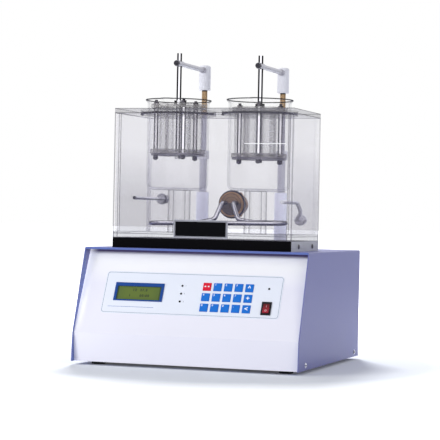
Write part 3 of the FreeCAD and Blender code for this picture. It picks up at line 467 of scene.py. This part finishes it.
rubber = Finish("black_rubber")
shade = rubber.mix(rubber.noise(120.0), ink(24, 24, 26), ink(38, 38, 40))
grain = rubber.bump(rubber.noise(700.0), 0.0002, 0.5)
coat(rubber.surface(Base_Color=shade, Roughness=0.78, Normal=grain), "rubber_feet")

FRONT_SCREW_Y, REAR_SCREW_Y, COVER_SCREW_Z, RECESS_HALF = -0.1464, 0.1569, 0.0141, 0.0006

plated = Finish("nickel_plated_screw")
x, y, z = plated.spot()
on_plinth = z > 0.15
choice = {"Factor": y > 0, 2: FRONT_SCREW_Y, 3: REAR_SCREW_Y}
off_y = y - plated.node("Mix", {"data_type": "FLOAT"}, choice)
# Painted shade: the cross recess of the cover's screws is painted as a dark cross.
cross = (abs(off_y) < RECESS_HALF).most(abs(z - COVER_SCREW_Z) < RECESS_HALF)
shade = plated.mix(plated.noise(900.0), ink(232, 232, 240), ink(248, 248, 252))
shade = plated.mix(cross * (1 - on_plinth), shade, ink(60, 58, 66))
shade = plated.mix(on_plinth * 0.9, shade, ink(52, 48, 56))
coat(plated.surface(Base_Color=shade, Metallic=0.4, Roughness=0.28), "side_screws")

# ---------------------------------------------------------------- plinth
# An upside-down tray between the cabinet and the tank: gloss black at the front and
# back, with bare brushed plates at the two ends where the screws go in.

END_PLATE_X = 0.15885

plinth = Finish("gloss_black_plinth")
x, y, z = plinth.spot()
end = abs(x) > END_PLATE_X
brushed = plinth.noise(420.0, 2.0, (1, 0.06, 1))
bare = plinth.mix(brushed, ink(156, 156, 164), ink(200, 200, 208))
shade = plinth.mix(end, ink(6, 5, 8), bare)
wave = plinth.bump(plinth.noise(30.0), 0.0004, 0.06)
coat(
    plinth.surface(Base_Color=shade, Metallic=end * 0.6, Roughness=0.16 + 0.2 * end,
                   Specular_IOR_Level=0.06, Normal=wave),
    "plinth")

# ---------------------------------------------------------------- tank
# Five sheets of 8 mm clear acrylic, solvent-welded edge to edge, under a top plate
# with two round openings. Cut edges are polished and look grey; a white line is
# printed on the front as the filling mark.

TANK_MIDDLE_Y, STATION_X = -0.034, 0.074
TANK_FLOOR_TOP, FILL_LEVEL = 0.2238, 0.3737


def clear(finish, lit, middle, grazing, power, extra, shine, rough=0.03):
    """Clear sheet or glass: see-through face on, greyer and glossier where it turns away."""
    away = finish.facing()
    share = (middle + (grazing - middle) * away ** power + extra).least(1.0)
    sockets = {"Base Color": lit, "Alpha": share, "Roughness": 0.2, "Specular IOR Level": 0.0}
    body = finish.node("BsdfPrincipled", {}, sockets)
    gloss = finish.node("BsdfGlossy", {}, {"Color": WHITE, "Roughness": rough})
    skin = finish.node("MixShader", {}, {0: 0.02 + shine * away ** 8.0, 1: body, 2: gloss})
    finish.node("OutputMaterial", {}, {"Surface": skin}, None)
    return finish.material


acrylic = Finish("clear_acrylic_sheet")
x, y, z = acrylic.spot()
from_middle = abs(x)
from_axis = abs(y - TANK_MIDDLE_Y)
in_front = y < TANK_MIDDLE_Y
corners = (from_middle > 0.1570) * (from_axis > 0.0790)
inner_corners = from_middle.line(0.1507, 0.0010) * (from_axis > 0.0725)
seams = z.line(0.2203, 0.0006) + z.line(0.2133, 0.0004) + z.line(0.4246, 0.0004)
bold = 0.15 + 0.85 * in_front.most((x > 0.157) * 0.7)
lines = (corners + inner_corners + seams).least(1.0) * bold
slab = z < TANK_FLOOR_TOP
walls = 1 - slab
# Painted shade: behind the front sheet the walls are painted darker and less clear towards the
# bottom, the left wall most.
low = z.fade(0.372, -0.09)
aside = 0.3 + 0.7 * x.fade(-0.02, -0.10).most((x > 0.15) * 0.5)
painted_low_shade = low * aside * (y > -0.106) * walls
fill_mark = z.line(FILL_LEVEL, 0.00055) * x.within(0.0743, 0.1453) * (y < -0.1148)
lit = acrylic.mix(acrylic.noise(8.0), ink(138, 132, 174), ink(146, 139, 180))
lit = acrylic.mix(painted_low_shade, lit, ink(136, 130, 152))
lit = acrylic.mix(slab, lit, ink(128, 126, 138))
lit = acrylic.mix(lines, lit, ink(96, 93, 104))
lit = acrylic.mix(fill_mark, lit, WHITE)
extra = lines * 0.42 + slab * 0.26 + painted_low_shade * 0.17 + fill_mark
coat(clear(acrylic, lit, 0.058, 0.10, 2.0, extra, 0.20 * walls), "tank_panels")

lid = Finish("drilled_acrylic_plate")
x, y, z = lid.spot()
from_middle = abs(x)
back = y - TANK_MIDDLE_Y
bore = distance(from_middle - STATION_X, back).within(0.0640, 0.0660)
# Painted shade: the lower part of each bore's near half is painted almost black and almost opaque.
painted_shade_near_bore = bore * (back < 0) * (z < 0.4288)
brim = (from_middle > 0.1588).most(abs(back) > 0.0808)
brim_lines = brim * (z > 0.4320).most(z < 0.4258)
top_face = z > 0.4329
# Painted light: the underside is painted lighter than the top face, which is darker and less
# clear.
lit = lid.mix(lid.noise(8.0), ink(206, 203, 216), ink(222, 219, 232))
lit = lid.mix(top_face, lit, ink(174, 171, 182))
lit = lid.mix(brim, lit, ink(124, 122, 132))
lit = lid.mix(bore, lit, ink(70, 68, 76))
lit = lid.mix(painted_shade_near_bore, lit, ink(8, 6, 10))
lit = lid.mix(brim_lines, lit, ink(70, 68, 78))
extra = bore * 0.35 + painted_shade_near_bore * 0.85 + brim * 0.24 + brim_lines * 0.45 + top_face * 0.17
coat(clear(lid, lit, 0.04, 0.06, 2.0, extra, 0.03), "tank_top_plate")

# ---------------------------------------------------------------- nameplate
# A thin black metal plate stuck low on the tank's front, left blank inside a border
# of two engraved bright lines.

PLATE_HALF, PLATE_MIDDLE_Z = (0.048, 0.01525), 0.22995

plate = Finish("engraved_black_plate")
x, y, z = plate.spot()
inset = (abs(x) - PLATE_HALF[0]).most(abs(z - PLATE_MIDDLE_Z) - PLATE_HALF[1])
border = inset.within(-0.0014, -0.0002).most(inset.within(-0.0029, -0.0022))
shade = plate.mix(plate.noise(300.0), ink(5, 5, 8), ink(10, 10, 14))
shade = plate.mix(border, shade, ink(206, 206, 216))
coat(
    plate.surface(Base_Color=shade, Metallic=border * 0.5, Roughness=0.3, Specular_IOR_Level=0.06),
    "nameplate")

# ---------------------------------------------------------------- pedestals
# Short lengths of thick-walled acrylic tube, sawn square and polished. They stand on
# the tank floor and carry the beakers.

SAWN_FOOT, SAWN_TOP = 0.2236, 0.2955

post = Finish("clear_acrylic_tube")
z = post.spot()[2]
sawn = (z < SAWN_FOOT).most(z > SAWN_TOP)
lit = post.mix(post.noise(10.0), ink(80, 78, 88), ink(102, 100, 112))
coat(clear(post, lit, 0.02, 0.80, 2.6, sawn * 0.15, 0.4), "beaker_stands")

# ---------------------------------------------------------------- heater
# An immersion heater through the back wall: bronze flange on a black rubber gasket,
# and a plated steel tube element bent round just above the tank floor.

gasket = Finish("gasket_rubber")
shade = gasket.mix(gasket.noise(200.0), ink(14, 11, 11), ink(26, 21, 21))
grain = gasket.bump(gasket.noise(800.0), 0.0002, 0.4)
coat(
    gasket.surface(Base_Color=shade, Roughness=0.6, Specular_IOR_Level=0.1, Normal=grain),
    "heater_gasket")

FLANGE_X, FLANGE_Z, DISH_RADIUS, STEP_RADIUS = 0.003, 0.2735, 0.0186, 0.0130

bronze = Finish("tarnished_bronze")
x, y, z = bronze.spot()
off_z = z - FLANGE_Z
reach = distance(x - FLANGE_X, off_z)
stain = bronze.noise(60.0, 5.0)
shade = bronze.mix(stain, ink(134, 94, 46), ink(210, 160, 92))
# Painted shade: the recessed centre is painted dark, darkest on its lower half, with dark rings on
# the step edges.
painted_dish_shade = (reach < DISH_RADIUS) * (0.34 + 0.56 * (off_z < 0.002))
shade = bronze.mix(painted_dish_shade, shade, ink(58, 50, 42))
painted_step_shade = reach.line(DISH_RADIUS, 0.0005).most(reach.line(STEP_RADIUS, 0.0004))
shade = bronze.mix(painted_step_shade, shade, ink(52, 38, 30))
pits = bronze.bump(stain, 0.0003, 0.3)
coat(
    bronze.surface(Base_Color=shade, Metallic=0.25, Roughness=0.34 + 0.2 * stain, Normal=pits),
    "heater_flange")

element = Finish("plated_element_tube")
scale = element.noise(140.0, 4.0)
shade = element.mix(scale, ink(226, 222, 228), ink(252, 250, 254))
# Painted reflection: the tube is painted dark where it turns away from the eye. Painted shade: its
# underside is painted dark blue.
shade = element.mix(element.facing().fade(0.30, 0.25), shade, ink(58, 52, 56))
shade = element.mix(element.below() * 0.9, shade, ink(44, 52, 116))
pits = element.bump(scale, 0.0001, 0.3)
coat(
    element.surface(Base_Color=shade, Metallic=0.9, Roughness=0.14 + 0.12 * scale, Normal=pits),
    "heater_element")

# ---------------------------------------------------------------- circulation fittings
# Bulkhead pipes with hexagon nuts and washers, chromium-plated brass, low down in
# the back wall: a straight one on the left and an elbow on the right.

STRAIGHT_PIPE_X, STRAIGHT_PIPE_Z, OPEN_END_Y, NUT_FACE_Y = -0.129, 0.281, -0.0930, 0.030

chrome = Finish("chromium_plate")
x, y, z = chrome.spot()
spots = chrome.noise(320.0, 3.0)
on_elbow = x > 0
on_nut = y > NUT_FACE_Y
reach = distance(x - STRAIGHT_PIPE_X, z - STRAIGHT_PIPE_Z)
# Painted reflection on the straight pipe's nut: two dark rings, and a glowing ring between them.
nut_painted_dark_rings = reach.within(0.0040, 0.0054).most(reach.within(0.0074, 0.0084)) * on_nut
nut_shine = reach.within(0.0054, 0.0074) * on_nut
shade = chrome.mix(spots, ink(226, 224, 230), ink(250, 249, 254))
# Painted shade: the undersides are painted near black, less on the elbow, and so is the straight
# pipe's open end.
shade = chrome.mix(chrome.below() * (0.95 - 0.25 * on_elbow), shade, ink(14, 12, 16))
shade = chrome.mix((y < OPEN_END_Y).most(nut_painted_dark_rings * 0.8), shade, ink(14, 12, 16))
# Painted light: the elbow's front faces glow, and so does the ring on the nut.
painted_glow_share = (chrome.ahead() * on_elbow * 0.5).most(nut_shine * 0.8)
painted_glow = chrome.mix(painted_glow_share, BLACK, ink(222, 220, 228))
coat(
    chrome.surface(Base_Color=shade, Metallic=0.95, Roughness=0.08 + 0.10 * spots,
                   Emission_Color=painted_glow, Emission_Strength=0.36),
    "circulation_fittings")

# ---------------------------------------------------------------- guides, rods, caps and arms
# Satin-turned metal guide columns with gland nuts stand behind the tank. Brass drive
# rods slide in them and carry turned white nylon caps, with a steel bar arm in each
# and a knurled clamp knob at the arm's other end.

COLUMN_SHOULDER, COLUMN_NECK = 0.2955, 0.3551

turned = Finish("satin_turned_aluminium")
z = turned.spot()[2]
above_shoulder = z > COLUMN_SHOULDER
cuts = turned.noise(900.0, 2.0, (0.05, 0.05, 1))
shade = turned.mix(cuts, ink(240, 240, 244), ink(252, 252, 253))
shade = turned.mix(above_shoulder, shade, ink(204, 202, 203))
shade = turned.mix(z > COLUMN_NECK, shade, ink(232, 230, 230))
# Painted light: faces turned to the front glow, most on the column below the shoulder.
painted_glow_share = turned.ahead() * (1 - above_shoulder * 0.70)
painted_glow = turned.mix(painted_glow_share, BLACK, ink(224, 228, 252))
grooves = turned.bump(cuts, 0.00008, 0.3)
coat(
    turned.surface(Base_Color=shade, Metallic=0.08, Roughness=0.36 + 0.12 * cuts,
                   Emission_Color=painted_glow, Emission_Strength=0.40, Normal=grooves),
    "guide_columns")

LEFT_CAP_FOOT, RIGHT_CAP_FOOT, PAINTED_PALE_BELOW, THREAD_PITCH = 0.4768, 0.4708, 0.434, 0.0015

brass = Finish("drawn_brass")
x, y, z = brass.spot()
drawn = brass.noise(700.0, 2.0, (1, 1, 0.03))
shade = brass.mix(drawn, ink(188, 152, 110), ink(214, 182, 142))
# Painted shade: dark stripes, one pitch apart, stand for the shade in the grooves of the thread.
thread = z.to_nearest(THREAD_PITCH) < 0.00030
shade = brass.mix(thread * 0.5, shade, ink(104, 80, 56))
# Painted shadow: the rod is painted dark where it goes into its cap.
painted_shadow_at_cap = (z > LEFT_CAP_FOOT).most((x > 0) * (z > RIGHT_CAP_FOOT))
shade = brass.mix(painted_shadow_at_cap, shade, ink(40, 32, 26))
# Painted light: below the top plate the rod is painted pale grey instead of brass, for how it
# looks through the acrylic.
shade = brass.mix(z < PAINTED_PALE_BELOW, shade, ink(214, 212, 222))
coat(brass.surface(Base_Color=shade, Metallic=0.6, Roughness=0.3 + 0.1 * drawn), "drive_rods")

nylon = Finish("white_nylon")
turning = nylon.noise(500.0, 2.0, (0.05, 0.05, 1))
shade = nylon.mix(turning, ink(232, 232, 240), ink(240, 240, 247))
grooves = nylon.bump(turning, 0.00008, 0.3)
coat(nylon.surface(Base_Color=shade, Roughness=0.42, Normal=grooves), "rod_caps")

bar = Finish("bright_bar_steel")
along = bar.noise(600.0, 2.0, (1, 0.04, 1))
shade = bar.mix(along, ink(176, 174, 180), ink(212, 210, 218))
coat(bar.surface(Base_Color=shade, Metallic=0.6, Roughness=0.26 + 0.12 * along), "arms")

knurl = Finish("knurled_steel")
shade = knurl.mix(knurl.noise(400.0), ink(58, 56, 62), ink(96, 94, 100))
ridges = knurl.bump(knurl.noise(1600.0, 1.0, (1, 0.2, 1)), 0.0003, 0.6)
coat(
    knurl.surface(Base_Color=shade, Metallic=0.9, Roughness=0.26, Normal=ridges),
    "clamp_knob_left", "clamp_knob_right")

# ---------------------------------------------------------------- basket racks
# Two clear plastic plates hold six open glass tubes, with woven steel wire cloth
# under the lower one; three polished tie rods and a central shaft hold it together.

shaft = Finish("polished_stainless")
fine = shaft.noise(500.0, 2.0, (1, 1, 0.04))
# Painted reflection: the shaft is painted near black where it turns away from the eye, and glows
# white elsewhere.
painted_dark_rim = shaft.facing().fade(0.03, 0.06)
shade = shaft.mix(fine, ink(236, 234, 238), ink(252, 250, 254))
shade = shaft.mix(painted_dark_rim, shade, ink(12, 8, 10))
shine = shaft.mix(painted_dark_rim, WHITE, BLACK)
polished = shaft.surface(Base_Color=shade, Metallic=1.0, Roughness=0.035 + 0.03 * fine,
                         Emission_Color=shine, Emission_Strength=0.35)

LOWER_TIPS, UPPER_TIPS = 0.3585, 0.4375

rods = Finish("bright_tie_rods")
z = rods.spot()[2]
upper_tips = z > UPPER_TIPS
tips = (z < LOWER_TIPS).most(upper_tips)
# Painted reflection: the rods are painted near black where they turn away from the eye, and glow
# white elsewhere except on the nuts.
painted_dark_rim = rods.facing().fade(0.05, 0.10)
shade = rods.mix(painted_dark_rim, ink(248, 244, 248), ink(14, 9, 11))
shade = rods.mix(tips, shade, ink(56, 52, 58))
shade = rods.mix(upper_tips, shade, ink(98, 94, 100))
shine = rods.mix(painted_dark_rim.most(tips), WHITE, BLACK)
threaded = rods.surface(Base_Color=shade, Metallic=1.0, Roughness=0.05 + 0.04 * rods.noise(600.0),
                        Emission_Color=shine, Emission_Strength=0.40)

rack = Finish("rack_plate_plastic")
on_upper_plate = rack.spot()[2] > 0.40
lit = rack.mix(rack.noise(40.0), ink(120, 115, 112), ink(162, 157, 153))
# Painted light: the upper plate is painted in a lighter tone than the lower one.
lit = rack.mix(on_upper_plate * 0.7, lit, ink(204, 200, 200))
rack_plate = clear(rack, lit, 0.22, 0.58, 1.4, 0.0, 0.15, 0.12)

tube = Finish("tube_glass")
lit = tube.mix(tube.noise(30.0, 2.0, (1, 1, 0.1)), ink(100, 95, 92), ink(136, 131, 128))
tube_glass = clear(tube, lit, 0.04, 0.62, 2.6, 0.0, 0.25)

WIRE_PITCH, WIRE_HALF, RING_INSIDE = 0.002, 0.00031, 0.0445

cloth = Finish("woven_wire_cloth")
x, y, z = cloth.spot()
warp, weft = x.to_nearest(WIRE_PITCH), y.to_nearest(WIRE_PITCH)
ring = distance(abs(x) - STATION_X, y - TANK_MIDDLE_Y) > RING_INSIDE
solid = ring.most((warp < WIRE_HALF).most(weft < WIRE_HALF))
shade = cloth.mix(cloth.noise(900.0), ink(104, 100, 106), ink(140, 136, 142))
weave = cloth.bump(warp.least(weft) * 1000.0, 0.0004, 0.5)
wire_cloth = cloth.surface(Base_Color=shade, Metallic=0.9, Roughness=0.36, Alpha=solid,
                           Normal=weave)

for hand in ("left", "right"):
    coat(polished, "basket_%s_shaft" % hand)
    coat(threaded, "basket_%s_tie_rods" % hand)
    coat(rack_plate, "basket_%s_upper_plate" % hand, "basket_%s_lower_plate" % hand)
    coat(tube_glass, "basket_%s_tubes" % hand)
    coat(wire_cloth, "basket_%s_mesh" % hand)

# ---------------------------------------------------------------- beakers
# Low-form one-litre beakers in borosilicate glass with a spout and a flared rim.
# A scale of short white enamel lines is fired on the front of each.

SCALE_PITCH, SCALE_FOOT, SCALE_TOP = 0.009, 0.377, 0.417
BEAKER_FOOT, BASE_TOP, RIM_FOOT = 0.2955, 0.3000, 0.4503

for hand, station in (("left", -STATION_X), ("right", STATION_X)):
    vessel = Finish("beaker_glass_" + hand)
    x, y, z = vessel.spot()
    across, back = x - station, y - TANK_MIDDLE_Y
    ticks = (z.to_nearest(SCALE_PITCH) < 0.00035) * z.within(SCALE_FOOT, SCALE_TOP)
    scale_lines = ticks * across.within(0.0300, 0.0350) * (back < -0.03)
    base = z.within(BEAKER_FOOT, BASE_TOP)
    rim = z > RIM_FOOT
    foot_line = z.within(0.2950, 0.2965) * (distance(across, back) > 0.0425)
    lit = vessel.mix(vessel.noise(20.0), ink(104, 102, 114), ink(128, 126, 140))
    lit = vessel.mix(scale_lines, lit, ink(236, 234, 240))
    lit = vessel.mix(base * 0.7, lit, ink(214, 214, 228))
    lit = vessel.mix(rim.most(foot_line) * 0.9, lit, ink(44, 42, 48))
    extra = scale_lines * 0.8 + base * 0.10 + rim * 0.75 + foot_line * 0.30
    coat(clear(vessel, lit, 0.010, 0.34, 5.0, extra, 0.25), "beaker_" + hand)

# ---------------------------------------------------------------- drive inside the cabinet
# A gear motor on a folded bracket turns a steel crank, whose pin works in a slot of
# the aluminium crosshead; the control board stands behind the sloping panel.

machined = Finish("milled_aluminium")
feed = machined.noise(500.0, 2.0, (1, 0.05, 0.05))
shade = machined.mix(feed, ink(180, 182, 188), ink(208, 210, 216))
grooves = machined.bump(feed, 0.00008, 0.3)
coat(
    machined.surface(Base_Color=shade, Metallic=0.85, Roughness=0.32, Normal=grooves),
    "crosshead")

ground = Finish("ground_steel")
shade = ground.mix(ground.noise(300.0), ink(150, 150, 158), ink(186, 186, 194))
coat(ground.surface(Base_Color=shade, Metallic=0.9, Roughness=0.26), "crank")

motor = Finish("grey_cast_motor")
x, y, z = motor.spot()
can = (y < 0.029) * (z > 0.06)
shade = motor.mix(motor.noise(60.0), ink(96, 98, 104), ink(116, 118, 124))
shade = motor.mix(can * 0.8, shade, ink(40, 42, 48))
grain = motor.bump(motor.noise(500.0), 0.0003, 0.3)
coat(
    motor.surface(Base_Color=shade, Metallic=0.3, Roughness=0.45, Normal=grain),
    "gear_motor")

TRACK_HALF = 0.0003

board = Finish("green_circuit_board")
x, y, z = board.spot()
up_tracks = x.to_nearest(0.0032) < TRACK_HALF
cross_tracks = slope_up(y, z).to_nearest(0.0044) < TRACK_HALF
tracks = up_tracks.most(cross_tracks) * (board.noise(60.0) > 0.52)
shade = board.mix(board.noise(30.0), ink(16, 92, 46), ink(24, 108, 56))
shade = board.mix(tracks, shade, ink(180, 150, 70))
coat(board.surface(Base_Color=shade, Metallic=tracks * 0.6, Roughness=0.35), "control_board")

# ---------------------------------------------------------------- mains inlet
# A standard three-pin appliance inlet, moulded in black, with its pins deep in the
# socket. Its flange is screwed to the back of the tray.

inlet = Finish("inlet_moulding")
shade = inlet.mix(inlet.noise(60.0), ink(20, 20, 22), ink(34, 34, 36))
grain = inlet.bump(inlet.noise(900.0, 1.0), 0.0001, 0.3)
coat(inlet.surface(Base_Color=shade, Roughness=0.42, Normal=grain), "mains_inlet")
